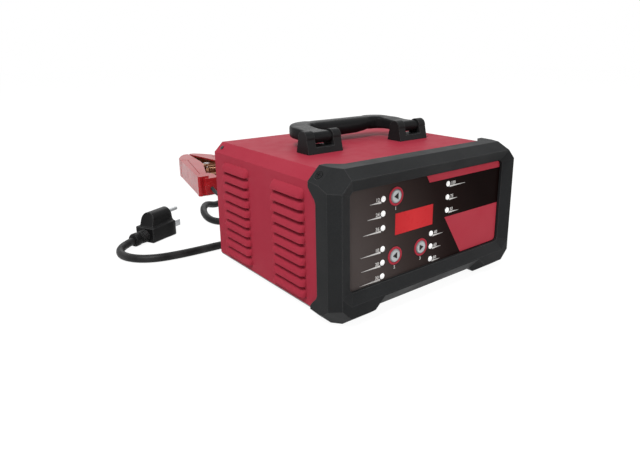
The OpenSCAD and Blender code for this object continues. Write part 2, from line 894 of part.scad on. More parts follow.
module mains_lead()
    color(black_rubber) tube(spline(mains_route, 2), mains_d, 10);

// Two layers of two turns each, as one ring
module lead_coil(at, r, d, across, high)
    translate([at[0], at[1], 0])
        rotate_extrude()
            translate([r - across * d / 2, 0]) square([across * d, high * d]);

module mains_lead_coil()
    color(black_rubber) lead_coil(mains_coil_at, mains_coil_r, mains_d, 2, 2);

module positive_lead_start()
    color("#3C3D40") tube(spline(positive_start_route, 2), lead_d, 8);

module positive_lead_coil()
    color("#3C3D40") lead_coil(positive_coil_at, positive_coil_r, lead_d, 3, 2);

module positive_lead()
    color("#3C3D40") tube(spline(positive_route, 2), lead_d, 8);

// ---------------------------------------------------------------- plug

plug_at = [-133, 239.5];
plug_turn = 26;
plug_l = 39;
plug_w = 27.6;
plug_h = 18.8;
plug_neck_l = 20;
plug_neck_z = 8.4;
hump_r = 9.6;
hump_z = 27;
face_flange_l = 11;
pin_z = 29;
blade_z = 11;

// Placed so that +X points out of the plug's face
module at_plug()
    translate([plug_at[0], plug_at[1], 0])
        rotate([0, 0, plug_turn])
            children();

// The hump over the slab, run into the slab's top by a hollow curve on each side
module hump_section(r, curve_r, top, foot) {
    curve = [for (a = [0:15:90]) [r + curve_r * (1 - cos(a)), top + curve_r * (1 - sin(a))]];
    right = concat([[r, hump_z]], curve, [[r + curve_r, top - foot]]);
    left = [for (i = [len(right) - 1:-1:0]) [-right[i][0], right[i][1]]];
    translate([0, hump_z]) circle(r);
    polygon(concat(right, left));
}

// A flat slab for the two blades and a hump for the ground pin with a leaning back
module plug_body()
    color(black_rubber)
        at_plug() {
            along_x(-plug_l, -face_flange_l + 1)
                translate([0, plug_h / 2 - 0.2]) rounded_rect(plug_w - 2, plug_h - 0.4, 3);
            along_x(-face_flange_l, 0) {
                translate([0, plug_h / 2]) rounded_rect(plug_w, plug_h, 2.5);
                hump_section(hump_r, plug_w / 2 - hump_r, plug_h, 4);
            }
            difference() {
                along_x(-plug_l + 3, -face_flange_l + 1) hump_section(hump_r - 0.4, 1.6, plug_h - 0.4, 1);
                translate([-plug_l + 3, -20, plug_h - 0.4])
                    rotate([0, 17, 0]) translate([-20, 0, -2]) cube([20, 40, 30]);
            }
        }

// Ribbed neck that ends in a collar
module plug_strain_relief()
    color(black_rubber)
        at_plug()
            translate([-plug_l, 0, plug_neck_z])
                rotate([0, -90, 0])
                    rotate_extrude()
                        polygon(concat(
                            [[0, 0], [8.2, 0]],
                            [for (i = [0:3], s = [0:3])
                                [8.2 - i * 0.25 - (s == 1 || s == 2 ? 1.4 : 0), 0.8 + i * 2.7 + [0, 0.4, 1.4, 1.8][s]]],
                            [[7.9, 11.6], [8.3, 12.4], [8.3, 17.6], [7.4, 19.2], [5.6, plug_neck_l], [0, plug_neck_l]]
                        ));

module plug_blades()
    color(steel)
        at_plug()
            for (s = [-1, 1])
                along_x(0, 17)
                    translate([s * 6.35, blade_z]) square([1.6, 7.6], center = true);

module plug_ground_pin()
    color(steel)
        at_plug()
            translate([0, 0, pin_z]) {
                rod_x(5, 0, 18);
                translate([18, 0, 0]) sphere(d = 5);
            }

// ---------------------------------------------------------------- clamp

// Placed with the handle ends at y = 0 and the jaws at y = clamp_l
clamp_at = [45, 379];
clamp_pivot_y = 118;
shell_t = 2.4;
jaw_t = 1.8;
shell_end_t = 4;

// One half from above, to the left of the middle line
shell_plan = [
    [-69.4, 3], [-67, 0], [-51.5, 0], [-46.3, 21], [-19.5, 90], [-13, 113], [-4.5, 172], [-0.6, clamp_l - 4],
    [-3, clamp_l], [-10, clamp_l - 0.5], [-20.5, 188], [-33, 167]
];
shell_hollow = [
    [-64.8, shell_end_t], [-47, shell_end_t], [-42, 21], [-15.5, 90], [-9, 113], [-0.5, 172], [4, clamp_l - 12],
    [-9, clamp_l - 12], [-18.6, 183], [-29.7, 165]
];
groove_w = 1.3;
groove_depth = 1;
grip_from = [-66.7, 10];
grip_to = [-35.8, 151];
grip_corner = [-25, 145];
grip_end = [-57.4, 21];

// A bar between two points, seen from above
module bar(a, b, w)
    translate(a)
        rotate(atan2(b[1] - a[1], b[0] - a[0]))
            translate([0, -w / 2]) square([norm(b - a), w]);

// Channel-shaped handle half with a sunk grip panel on its outer side and a groove around it
module clamp_shell()
    difference() {
        linear_extrude(clamp_h) polygon(shell_plan);
        translate([0, 0, shell_t]) linear_extrude(clamp_h - 2 * shell_t) polygon(shell_hollow);
        translate([0, 0, -1])
            linear_extrude(clamp_h + 2) bar(grip_from - [1.2, 0], grip_to - [1.2, 0], 1.4);
        for (z = [-1, clamp_h - groove_depth])
            translate([0, 0, z])
                linear_extrude(groove_depth + 1) {
                    bar(grip_to - [2, -1.6], grip_corner, groove_w);
                    bar(grip_corner, grip_end, groove_w);
                }
        translate([-63.4, -1, -1]) cube([groove_w, groove_depth + 1, clamp_h + 2]);
    }

module at_clamp()
    translate([clamp_at[0], clamp_at[1], 0]) children();

module clamp_shell_fixed()
    color(red_paint) at_clamp() clamp_shell();

module clamp_shell_moving()
    color(red_paint) at_clamp() mirror([1, 0, 0]) clamp_shell();

// A plated jaw: a bent strip inside the shell, hinge tabs and teeth
module clamp_jaw(tab_z) {
    z0 = shell_t;
    h = clamp_h - 2 * shell_t;
    difference() {
        union() {
            translate([0, 0, z0])
                linear_extrude(h)
                    polygon([
                        [-26, 96], [-24, 96], [-19.5, 114], [-4.2, 172], [-0.5, clamp_l - 16], [-2.5, clamp_l - 15.5],
                        [-6.2, 172.5], [-21.5, 114.5]
                    ]);
            for (z = [tab_z, clamp_h - tab_z - jaw_t])
                translate([0, 0, z])
                    linear_extrude(jaw_t) {
                        polygon([[-21, 108], [0, clamp_pivot_y - 7], [0, clamp_pivot_y + 7], [-17, 128]]);
                        translate([0, clamp_pivot_y]) circle(7);
                    }
        }
        translate([0, clamp_pivot_y, -1]) cylinder(d = 6.1, h = clamp_h + 2);
        for (i = [0:5])
            translate([-3.4 + i * 0.55, 172 + i * 2.2, 0])
                rotate([0, 0, 35]) cube([2, 1, clamp_h]);
    }
}

module clamp_jaw_fixed()
    color(copper) at_clamp() clamp_jaw(tab_z_fixed);

module clamp_jaw_moving()
    color(copper) at_clamp() mirror([1, 0, 0]) clamp_jaw(tab_z_moving);

// Block in the mouth of the fixed handle that grips the lead
module clamp_lead_block()
    color(red_paint)
        at_clamp() {
            translate([0, 0, shell_t])
                linear_extrude(clamp_h - 2 * shell_t)
                    polygon([
                        [-61, -9], [-38, -9], [-35, 14], [-38, 30], [-42.4, 30], [-45.6, 22], [-60, 22],
                        [-61.6, 4.1], [-50, 4.1], [-51.1, -0.3], [-61, -0.3]
                    ]);
            translate([-53, 0, 15]) {
                rod_y(20, -11, -8.9);
                rod_y(14, -13, -10.9);
            }
        }

pin_head_t = 1.4;
tab_z_fixed = 6;
tab_z_moving = 8.2;

module clamp_pivot()
    color(steel)
        at_clamp()
            translate([0, clamp_pivot_y, tab_z_fixed - pin_head_t]) {
                cylinder(d = 6, h = clamp_h - 2 * (tab_z_fixed - pin_head_t));
                cylinder(d = 11, h = pin_head_t);
                translate([0, 0, clamp_h - 2 * tab_z_fixed + pin_head_t]) cylinder(d = 11, h = pin_head_t);
            }

spring_wire = 1.8;
spring_r = 4.1;
spring_z = 12.6;

// A straight wire from the spring's coil to the jaw on the left
module spring_leg(z)
    translate([0, clamp_pivot_y - spring_r, z])
        rotate([0, -90, 0])
            rotate([30, 0, 0]) cylinder(d = spring_wire, h = 23);

module clamp_spring()
    color(dark_steel)
        at_clamp() {
            translate([0, clamp_pivot_y, 0])
                rotate_extrude()
                    for (i = [0:3])
                        translate([spring_r, spring_z + i * 1.6]) circle(d = spring_wire);
            spring_leg(spring_z);
        }

// The spring's last turn and the wire that pushes on the moving jaw
module clamp_spring_arm()
    color(dark_steel)
        at_clamp() {
            z = spring_z + 6.8;
            translate([0, clamp_pivot_y, z])
                rotate_extrude() translate([spring_r, 0]) circle(d = spring_wire);
            mirror([1, 0, 0]) spring_leg(z);
        }

base_plate();
cabinet_cover();
rear_panel();
front_bezel();
front_panel();
panel_trim();
display_window();
display_module();
button_rings();
button_mode();
button_back();
button_next();
indicator_lenses();
control_board();
control_board_posts();
tact_switches();
handle();
handle_bracket_left();
handle_bracket_right();
handle_pins();
handle_screws();
bezel_screws();
cover_screws();
rear_feet();
fan_frame();
fan_rotor();
fan_guard();
fan_screws();
main_board();
main_board_posts();
transformer_core();
transformer_coil();
heat_sinks();
capacitors();
output_choke();
relay();
mains_strain_relief();
positive_lead_gland();
negative_lead_gland();
mains_lead_start();
mains_lead_coil();
mains_lead();
plug_body();
plug_strain_relief();
plug_blades();
plug_ground_pin();
positive_lead_start();
positive_lead_coil();
positive_lead();
clamp_shell_fixed();
clamp_shell_moving();
clamp_jaw_fixed();
clamp_jaw_moving();
clamp_lead_block();
clamp_pivot();
clamp_spring();
clamp_spring_arm();
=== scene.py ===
# Bench battery charger: finishes, leads and small fittings over the fixed CAD frame.
import json
import math

import bpy
import bmesh
from mathutils import Matrix, Vector


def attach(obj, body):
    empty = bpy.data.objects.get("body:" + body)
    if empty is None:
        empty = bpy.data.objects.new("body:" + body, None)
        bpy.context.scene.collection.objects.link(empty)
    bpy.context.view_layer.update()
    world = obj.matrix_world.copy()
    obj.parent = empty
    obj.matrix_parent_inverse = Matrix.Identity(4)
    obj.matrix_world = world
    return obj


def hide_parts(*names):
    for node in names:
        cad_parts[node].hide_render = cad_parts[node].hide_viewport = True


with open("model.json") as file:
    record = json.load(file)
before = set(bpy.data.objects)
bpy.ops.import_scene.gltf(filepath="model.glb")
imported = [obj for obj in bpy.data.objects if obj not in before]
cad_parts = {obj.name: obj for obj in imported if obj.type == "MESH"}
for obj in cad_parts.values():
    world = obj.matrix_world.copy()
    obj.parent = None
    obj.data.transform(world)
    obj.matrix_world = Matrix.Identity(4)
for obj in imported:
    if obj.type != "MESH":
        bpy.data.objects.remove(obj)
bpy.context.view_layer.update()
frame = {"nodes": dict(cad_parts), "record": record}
NODES = frame["nodes"]
MM = 0.001

# Main planes and places, as in the CAD source, in millimetres
FRONT_Y = -110.0
PANEL_Y = FRONT_Y + 8.4
# Prints lie just in front of the overlay
PRINT_Y = PANEL_Y - 0.02
# Middle of each button, and the way its arrow points
BUTTONS = {
    "button_mode": (-49.2, 108.0, -1),
    "button_back": (-49.2, 51.3, -1),
    "button_next": (-14.8, 51.3, 1),
}
LEFT_LAMPS = [(-64.6, z) for z in (108.0, 94.6, 81.2, 61.4, 48.2, 35.0)]
RIGHT_LAMPS = [(-0.4, z) for z in (61.8, 48.6, 35.4)] + [(21.6, z) for z in (108.0, 94.6, 81.2)]
# Length of the line under each lamp, in strokes, and the plain number beside it
LEFT_LINES = (0.85, 1.0, 1.3, 1.5, 1.45, 1.55)
RIGHT_LINES = (0.95, 0.8, 0.75, 1.5, 0.8, 0.95)
LEFT_NUMBERS = ("12", "24", "36", "10", "20", "30")
RIGHT_NUMBERS = ("40", "60", "80", "100", "75", "50")

# Lead routes and coils, as in the CAD source: diameter, middle, radius and degrees of turning
MAINS_D = 9.5
MAINS_COIL = (37.25, 256.0)
MAINS_COIL_R = 50.0
MAINS_COIL_TURN = 1170
MAINS_START = [
    (92, 148, 30), (92, 158, 28.6), (92, 170, 23.8), (92, 183, 16.5), (92, 196, 9.8),
    (92, 210, 5.9), (92, 224, 5), (92, 240, 5), (92, 256, 5),
]
MAINS_RUN = [
    (37, 310.75, 14.5), (18, 311, 13.5), (0, 308, 11), (-18, 303, 9), (-36, 297, 8),
    (-54, 288, 13), (-66, 273, 12), (-72, 254, 8), (-70, 236, 5), (-60, 220, 5), (-40, 209, 5),
    (-14, 204, 5), (5, 199, 5), (19, 185, 5), (25, 166, 5), (20, 148, 5), (6, 133, 5),
    (-14, 127, 5), (-38, 127, 5), (-62, 131, 5), (-84, 136, 5), (-106, 140, 5), (-132, 141, 5),
    (-158, 143, 5), (-180, 148, 5), (-196, 158, 5), (-206, 173, 5), (-208, 189, 5),
    (-202, 203, 6.6), (-186, 213.5, 8.4),
]
LEAD_D = 6.0
LEAD_COIL = (138.0, 305.0)
LEAD_COIL_R = 36.0
LEAD_COIL_TURN = 1980
LEAD_START = [
    (109.5, 110, 30), (109.5, 122, 28.5), (109.5, 138, 20), (109.5, 154, 9), (109.5, 170, 3.6),
    (109.5, 192, 3), (109.5, 214, 3), (110.5, 232, 3), (114, 248, 3), (124, 259, 3),
    (138, 263, 3),
]
LEAD_RUN = [
    (138, 347, 9), (114, 347, 8.4), (90, 345.5, 4.5), (62, 343, 3), (36, 342, 3), (14, 342, 3),
    (-1, 346, 4.5), (-7, 355, 9.5), (-8, 366, 15),
]
# Degrees into a turn at which a lead starts to change its ring or layer, and how many it takes
LOWER_CHANGE = (318, 36)
LAYER_CLIMB = (240, 60)
UPPER_CHANGE = (195, 40)
COIL_STEP = 12
LEAD_STEPS = 4
COIL_CLEARANCE = 0.15


# ---------------------------------------------------------------- camera

CAMERA_AT = (-0.3755, -0.43175, 0.23592)
CAMERA_LOOKS_DOWN = 15.25
CAMERA_TURN = -39.69


def make_camera():
    data = bpy.data.cameras.new("view_camera")
    data.sensor_width = 36.0
    data.lens = 30.21
    data.shift_x = -0.0483
    data.shift_y = -0.0475
    data.clip_start = 0.02
    data.clip_end = 30.0
    camera = bpy.data.objects.new("view_camera", data)
    camera.location = CAMERA_AT
    camera.rotation_euler = (math.radians(90 - CAMERA_LOOKS_DOWN), 0, math.radians(CAMERA_TURN))
    bpy.context.scene.collection.objects.link(camera)
    bpy.context.scene.camera = camera


make_camera()


# ---------------------------------------------------------------- materials

BLACK = (0, 0, 0, 1)
WHITE = (1, 1, 1, 1)
# Most of a noise's values lie between these two
NOISE_BAND = (0.3, 0.7)
SPECK_FROM = 0.35
EDGE_SAMPLES = 4
COAT_ROUGH = 0.1
# Radius at which a button cap's painted rim shade reaches its rim colour, in millimetres
CAP_R = 6.6


def tint(code):
    """A colour from its usual six digits, as the shader wants it."""
    out = []
    for i in (1, 3, 5):
        c = int(code[i:i + 2], 16) / 255
        out.append(c / 12.92 if c <= 0.04045 else ((c + 0.055) / 1.055) ** 2.4)
    return (*out, 1.0)


def mixed(a, b, t):
    """Colour a, moved towards colour b by the share t."""
    return tuple(x + (y - x) * t for x, y in zip(a, b))


class Finish:
    """A material under construction: a Principled shader with helpers that wire its nodes."""

    def __init__(self, name, rough=0.5, metal=0.0, spec=0.5, coat=0.0):
        self.material = bpy.data.materials.new(name)
        self.material.use_nodes = True
        self.tree = self.material.node_tree
        self.shader = next(n for n in self.tree.nodes if n.type == "BSDF_PRINCIPLED")
        self.shader.inputs["Roughness"].default_value = rough
        self.shader.inputs["Metallic"].default_value = metal
        self.shader.inputs["Specular IOR Level"].default_value = spec
        self.shader.inputs["Coat Weight"].default_value = coat
        self.shader.inputs["Coat Roughness"].default_value = COAT_ROUGH
        self.coords = self.node("ShaderNodeTexCoord").outputs["Object"]
        self.normal = None

    def node(self, kind, **values):
        n = self.tree.nodes.new(kind)
        for key, value in values.items():
            setattr(n, key, value)
        return n

    def link(self, a, b):
        self.tree.links.new(a, b)

    def feed(self, socket, value):
        """Links a socket to its source, or sets it where the value is plain."""
        if isinstance(value, bpy.types.NodeSocket):
            self.link(value, socket)
        else:
            socket.default_value = value

    def placed(self, scale=(1, 1, 1), shift=(0, 0, 0)):
        m = self.node("ShaderNodeMapping")
        m.inputs["Location"].default_value = shift
        m.inputs["Scale"].default_value = scale
        self.link(self.coords, m.inputs["Vector"])
        return m.outputs["Vector"]

    def noise(self, scale, detail=3.0, rough=0.5, vector=None):
        n = self.node("ShaderNodeTexNoise")
        n.inputs["Scale"].default_value = scale
        n.inputs["Detail"].default_value = detail
        n.inputs["Roughness"].default_value = rough
        self.link(vector or self.coords, n.inputs["Vector"])
        return n.outputs["Fac"]

    def cells(self, scale):
        n = self.node("ShaderNodeTexVoronoi")
        n.inputs["Scale"].default_value = scale
        self.link(self.coords, n.inputs["Vector"])
        return n.outputs["Distance"]

    def ramp(self, value, stops):
        n = self.node("ShaderNodeValToRGB")
        ramp = n.color_ramp
        while len(ramp.elements) < len(stops):
            ramp.elements.new(0.5)
        for element, (place, colour) in zip(ramp.elements, stops):
            element.position = place
            element.color = colour
        self.link(value, n.inputs["Fac"])
        return n.outputs["Color"]

    def spread(self, value, low, high, start=0.0, end=1.0):
        """Moves values between start and end to the range from low to high."""
        n = self.node("ShaderNodeMapRange")
        n.inputs["From Min"].default_value = start
        n.inputs["From Max"].default_value = end
        n.inputs["To Min"].default_value = low
        n.inputs["To Max"].default_value = high
        self.link(value, n.inputs["Value"])
        return n.outputs["Result"]

    def mix(self, factor, a, b):
        n = self.node("ShaderNodeMix", data_type="RGBA")
        self.feed(n.inputs["Factor"], factor)
        self.feed(n.inputs["A"], a)
        self.feed(n.inputs["B"], b)
        return n.outputs["Result"]

    def maths(self, operation, a, b=0.0):
        n = self.node("ShaderNodeMath", operation=operation)
        self.feed(n.inputs[0], a)
        self.feed(n.inputs[1], b)
        return n.outputs["Value"]

    def axis(self, name, vector=None):
        n = self.node("ShaderNodeSeparateXYZ")
        self.link(vector or self.coords, n.inputs["Vector"])
        return n.outputs[name]

    def colour(self, value):
        self.feed(self.shader.inputs["Base Color"], value)

    def bend_normals(self, socket):
        self.normal = socket
        self.link(socket, self.shader.inputs["Normal"])

    def glow(self, colour, strength):
        self.shader.inputs["Emission Color"].default_value = colour
        self.shader.inputs["Emission Strength"].default_value = strength

    def eased_edges(self, radius):
        """Rounds every edge by a small radius, in millimetres, in the shading."""
        n = self.node("ShaderNodeBevel", samples=EDGE_SAMPLES)
        n.inputs["Radius"].default_value = radius * MM
        self.bend_normals(n.outputs["Normal"])

    def edge_mask(self, gain):
        """1 along eased edges, 0 on flat faces."""
        geometry = self.node("ShaderNodeNewGeometry")
        dot = self.node("ShaderNodeVectorMath", operation="DOT_PRODUCT")
        self.link(self.normal, dot.inputs[0])
        self.link(geometry.outputs["True Normal"], dot.inputs[1])
        flat = self.maths("SUBTRACT", 1.0, dot.outputs["Value"])
        return self.spread(self.maths("MULTIPLY", flat, gain), 0.0, 1.0)

    def bumps(self, height, strength, distance):
        n = self.node("ShaderNodeBump")
        n.inputs["Strength"].default_value = strength
        n.inputs["Distance"].default_value = distance * MM
        self.link(height, n.inputs["Height"])
        if self.normal is not None:
            self.link(self.normal, n.inputs["Normal"])
        self.bend_normals(n.outputs["Normal"])

    def clouded(self, pattern, base, dark, pale, towards=WHITE):
        """Base colour, darker and paler with a pattern: each of the two is a level and a share."""
        return self.ramp(pattern, [
            (dark[0], mixed(base, BLACK, dark[1])), (pale[0], mixed(base, towards, pale[1])),
        ])

    def specked(self, paint, pattern, speck, amount, end=NOISE_BAND[1]):
        """Fine specks of another colour over the paint."""
        return self.mix(self.spread(pattern, 0.0, amount, SPECK_FROM, end), paint, speck)

    def worn_and_highlit_edges(self, paint, pale, gain, amount):
        """A paler colour along the eased edges: partly wear, partly a painted highlight where
        light catches them.
        """
        return self.mix(self.maths("MULTIPLY", self.edge_mask(gain), amount), paint, pale)

    def uneven_sheen(self, scale, detail, low, high, start=NOISE_BAND[0]):
        """Roughness that wanders between two values over the surface."""
        rough = self.spread(self.noise(scale, detail), low, high, start, NOISE_BAND[1])
        self.link(rough, self.shader.inputs["Roughness"])


def powder_coat(name, code, rough=0.5, ease=0.35, spec=0.035):
    """Baked powder paint: orange-peel waves, fine speckle and slightly paler edges, partly rubbed
    wear and partly painted highlight.
    """
    f = Finish(name, rough=rough, spec=spec)
    f.eased_edges(ease)
    base = tint(code)
    paint = f.clouded(f.noise(9, 4, 0.6), base, (0.25, 0.06), (0.75, 0.012))
    paint = f.specked(paint, f.noise(1500, 2, 0.7), mixed(base, WHITE, 0.12), 0.05, end=0.75)
    # Paler edges: partly wear, partly painted highlight
    f.colour(f.worn_and_highlit_edges(paint, mixed(base, (1, 0.8, 0.8, 1), 0.35), 3.0, 0.14))
    f.uneven_sheen(60, 3, rough - 0.04, rough + 0.05)
    f.bumps(f.noise(700, 2, 0.6), 0.06, 0.08)
    return f.material


# lift sets how strongly the edges are painted paler as a highlight
def moulded(name, code, rough=0.5, grain=900, depth=0.05, ease=0.8, lift=0.06, spec=0.05):
    """Spark-textured moulded plastic with a fine grain, soft sheen changes and paler edges, mostly
    painted highlight with a little wear.
    """
    f = Finish(name, rough=rough, spec=spec)
    f.eased_edges(ease)
    base = tint(code)
    paint = f.clouded(f.noise(14, 4, 0.55), base, (0.2, 0.12), (0.8, 0.006))
    paint = f.specked(paint, f.noise(grain, 1), mixed(base, WHITE, 0.08), 0.05)
    # Paler edges: painted highlight with a little wear
    f.colour(f.worn_and_highlit_edges(paint, mixed(base, WHITE, 0.14), 8.0, lift * 4))
    f.uneven_sheen(35, 3, rough - 0.06, rough + 0.07)
    f.bumps(f.noise(grain, 2), depth, 0.08)
    return f.material


def plated(name, code, rough=0.3, metal=1.0, streak=(400, 40, 40)):
    """Plated or brushed metal with fine drawn streaks and duller patches."""
    f = Finish(name, rough=rough, metal=metal)
    f.eased_edges(0.2)
    lines = f.noise(6, 3, 0.6, vector=f.placed(scale=streak))
    f.colour(f.clouded(lines, tint(code), (0.25, 0.22), (0.8, 0.10)))
    f.uneven_sheen(90, 4, rough - 0.08, rough + 0.12)
    f.bumps(lines, 0.08, 0.05)
    return f.material


def jacket(name, code, rough=0.42, spec=0.14):
    """Extruded lead jacket with dull dusty patches and fine pores."""
    f = Finish(name, rough=rough, spec=spec)
    f.colour(f.clouded(f.noise(45, 4, 0.6), tint(code), (0.3, 0.25), (0.75, 0.03)))
    f.uneven_sheen(120, 3, rough - 0.08, rough + 0.12)
    f.bumps(f.noise(1400, 2, 0.7), 0.10, 0.08)
    return f.material


def soft_rubber(name, code, rough=0.62):
    """Moulded rubber with a fine matt skin."""
    f = Finish(name, rough=rough, spec=0.12)
    f.eased_edges(0.5)
    f.colour(f.clouded(f.noise(60, 4), tint(code), (0.3, 0.2), (0.75, 0.03)))
    f.uneven_sheen(150, 3, rough - 0.06, rough + 0.10)
    f.bumps(f.noise(1100, 3, 0.6), 0.15, 0.1)
    return f.material


def glossy_red(name, code):
    """Glossy injection-moulded shell with faint flow marks, fine scuffs and paler edges that are
    partly wear and partly painted highlight.
    """
    f = Finish(name, rough=0.2, spec=0.22)
    f.eased_edges(0.4)
    base = tint(code)
    flow = f.noise(7, 4, 0.6, vector=f.placed(scale=(1, 3, 1)))
    paint = f.clouded(flow, base, (0.25, 0.08), (0.8, 0.03), towards=(1, 0.6, 0.6, 1))
    # Paler edges: partly wear, partly painted highlight
    f.colour(f.worn_and_highlit_edges(paint, mixed(base, (1, 0.7, 0.7, 1), 0.3), 3.0, 0.2))
    f.uneven_sheen(50, 3, 0.18, 0.26, start=0.35)
    f.bumps(f.noise(60, 2), 0.015, 0.02)
    return f.material


def panel_film():
    """Printed overlay: warm grey on the left fading to near black, with a fine texture."""
    f = Finish("panel_film", rough=0.42, spec=0.01)
    f.eased_edges(0.3)
    across = f.spread(f.axis("X"), 0.0, 1.0, -0.105, 0.105)
    up = f.spread(f.axis("Z"), -0.10, 0.06, 0.032, 0.12)
    fade = f.ramp(f.maths("ADD", across, up), [
        (0.0, tint("#5a5250")), (0.28, tint("#403634")),
        (0.55, tint("#241918")), (0.85, tint("#120706")),
    ])
    f.colour(f.specked(fade, f.noise(2500, 1), tint("#6a605c"), 0.03))
    f.uneven_sheen(80, 3, 0.34, 0.44)
    f.bumps(f.cells(1800), 0.05, 0.03)
    return f.material


def red_film():
    """Red print of the overlay."""
    f = Finish("red_film", rough=0.4, spec=0.06)
    f.colour(f.clouded(f.noise(12, 3), tint("#c43446"), (0.3, 0.05), (0.7, 0.02)))
    f.uneven_sheen(80, 3, 0.32, 0.42)
    f.bumps(f.cells(1800), 0.05, 0.03)
    return f.material


def display_lens():
    """Red window with a fine diffusing texture, a little brighter in the middle."""
    f = Finish("display_lens", rough=0.34, spec=0.05)
    off_middle = f.maths("ABSOLUTE", f.spread(f.axis("X"), -1.0, 1.0, -0.0494, 0.001))
    fade = f.ramp(off_middle, [(0.0, tint("#de373c")), (1.0, tint("#d02e34"))])
    f.colour(f.specked(fade, f.noise(2200, 1), tint("#f05a58"), 0.03))
    f.uneven_sheen(200, 2, 0.26, 0.36)
    f.glow(tint("#d83236"), 0.1)
    return f.material


def button_plastic(name, at):
    """Pale cap that darkens to a grey rim with painted shade, with a fine satin texture."""
    f = Finish(name, rough=0.4, spec=0.45)
    f.eased_edges(0.4)
    spot = f.placed(shift=(-at[0] * MM, 0, -at[1] * MM))
    flat = f.node("ShaderNodeCombineXYZ")
    f.link(f.axis("X", spot), flat.inputs["X"])
    f.link(f.axis("Z", spot), flat.inputs["Z"])
    length = f.node("ShaderNodeVectorMath", operation="LENGTH")
    f.link(flat.outputs["Vector"], length.inputs[0])
    share = f.spread(length.outputs["Value"], 0.0, 1.0, 0.0, CAP_R * MM)
    # Painted shade darkening the cap towards its rim
    shade = f.ramp(share, [
        (0.0, tint("#d2d5d7")), (0.70, tint("#cdd0d2")),
        (0.80, tint("#a9adb0")), (1.0, tint("#6c7072")),
    ])
    f.colour(f.specked(shade, f.noise(1200, 2), tint("#ffffff"), 0.1))
    f.uneven_sheen(150, 3, 0.36, 0.48)
    f.bumps(f.noise(1500, 2), 0.06, 0.05)
    return f.material


def printed_ink(name, code):
    """Screen-printed ink, slightly uneven."""
    f = Finish(name, rough=0.45, spec=0.2)
    f.colour(f.clouded(f.noise(1500, 2), tint(code), (0.3, 0.06), (0.7, 0.0)))
    f.uneven_sheen(400, 2, 0.4, 0.52)
    return f.material


def frosted_lens():
    """Milky indicator lens with a soft gloss."""
    f = Finish("frosted_lens", rough=0.28, coat=0.2)
    f.colour(f.ramp(f.noise(600, 2), [(0.3, tint("#f1f0ec")), (0.7, tint("#ffffff"))]))
    f.uneven_sheen(500, 2, 0.24, 0.34)
    f.glow(tint("#ffffff"), 0.35)
    return f.material


def circuit_board():
    """Solder mask over copper tracks."""
    f = Finish("circuit_board", rough=0.35)
    brick = f.node("ShaderNodeTexBrick")
    brick.inputs["Scale"].default_value = 120
    brick.inputs["Mortar Size"].default_value = 0.035
    brick.inputs["Color1"].default_value = tint("#1c5a37")
    brick.inputs["Color2"].default_value = tint("#1a5233")
    brick.inputs["Mortar"].default_value = tint("#3c8a57")
    f.link(f.coords, brick.inputs["Vector"])
    f.colour(brick.outputs["Color"])
    f.uneven_sheen(100, 3, 0.3, 0.45)
    return f.material


FINISHES = {
    "red_paint": powder_coat("red_powder_coat", "#ad3043"),
    "black_panel_paint": powder_coat("black_powder_coat", "#222324", rough=0.55),
    "grey_plate": plated("zinc_plate", "#8b8d8f", rough=0.45, metal=0.7),
    # lift on the moulded finishes sets the painted highlight along their edges
    "bezel_plastic": moulded("bezel_plastic", "#262728", rough=0.48, ease=0.9, lift=0.11),
    "handle_plastic": moulded("handle_plastic", "#1b1c1d", rough=0.3, spec=0.035),
    "panel_film": panel_film(),
    "red_film": red_film(),
    "display_lens": display_lens(),
    "display_black": moulded("display_case", "#161616", rough=0.5),
    "led_clear": frosted_lens(),
    "board_green": circuit_board(),
    "black_component": moulded("fan_plastic", "#1a1b1c", rough=0.45),
    "blue_component": moulded("component_sleeve", "#27324e", rough=0.4),
    "screw_steel": plated("dark_screw_steel", "#3a3c3e", rough=0.4),
    "bright_steel": plated("bright_steel", "#c9cacb", rough=0.22),
    "laminated_steel": plated("laminated_steel", "#56585c", rough=0.5, streak=(40, 900, 40)),
    "copper_wire": plated("winding_copper", "#a8623a", rough=0.3, streak=(40, 40, 900)),
    "sink_aluminium": plated("sink_aluminium", "#c4c6c8", rough=0.35),
    "rubber_black": soft_rubber("black_rubber", "#151516"),
    "red_rubber": soft_rubber("red_rubber", "#a4212c"),
    "cord_black": jacket("black_jacket", "#111112"),
    "cord_grey": jacket("grey_jacket", "#202223", rough=0.3, spec=0.25),
    "plug_black": moulded("plug_vinyl", "#0f0f10", rough=0.36, grain=1300, depth=0.03, ease=1.0,
                          lift=0.16, spec=0.09),
    "blade_metal": plated("nickel_blade", "#a9abad", rough=0.25),
    "clamp_red": glossy_red("clamp_shell_red", "#b4141e"),
    "clamp_copper": plated("clamp_copper", "#b98562", rough=0.3),
}
SLOT_OF = {part["node"]: part["material_slot"] for part in frame["record"]["subparts"]}
# Pieces whose finish differs from that of their slot
# The brackets' lift paints a highlight along their edges
BRACKET_PLASTIC = moulded("bracket_plastic", "#1e1f20", rough=0.4, spec=0.06, lift=0.12)
OWN_FINISH = {
    "handle_bracket_left": BRACKET_PLASTIC,
    "handle_bracket_right": BRACKET_PLASTIC,
    "clamp_spring": FINISHES["clamp_copper"],
    "clamp_spring_arm": FINISHES["clamp_copper"],
    "bezel_screws": moulded("blacked_screw_head", "#1b1c1d", rough=0.45, ease=0.3),
}


def wear(obj, material):
    """Gives an object one material without touching its mesh."""
    if not obj.material_slots:
        obj.data.materials.append(material)
    for slot in obj.material_slots:
        slot.link = "OBJECT"
        slot.material = material


def finish_frame():
    """Gives each CAD piece its finish; each button cap has its own, centred on the cap."""
    for name, obj in NODES.items():
        if name in BUTTONS:
            wear(obj, button_plastic(name + "_cap", BUTTONS[name]))
        else:
            wear(obj, OWN_FINISH.get(name) or FINISHES[SLOT_OF[name]])


finish_frame()


# ---------------------------------------------------------------- leads

def smooth_step(t):
    """Eases from 0 to 1."""
    t = min(max(t, 0.0), 1.0)
    return t * t * (3 - 2 * t)


def change(part, span):
    """How much of a change of ring or layer is done at this place in a turn."""
    begins, takes = span
    return smooth_step((part - begins) / takes)


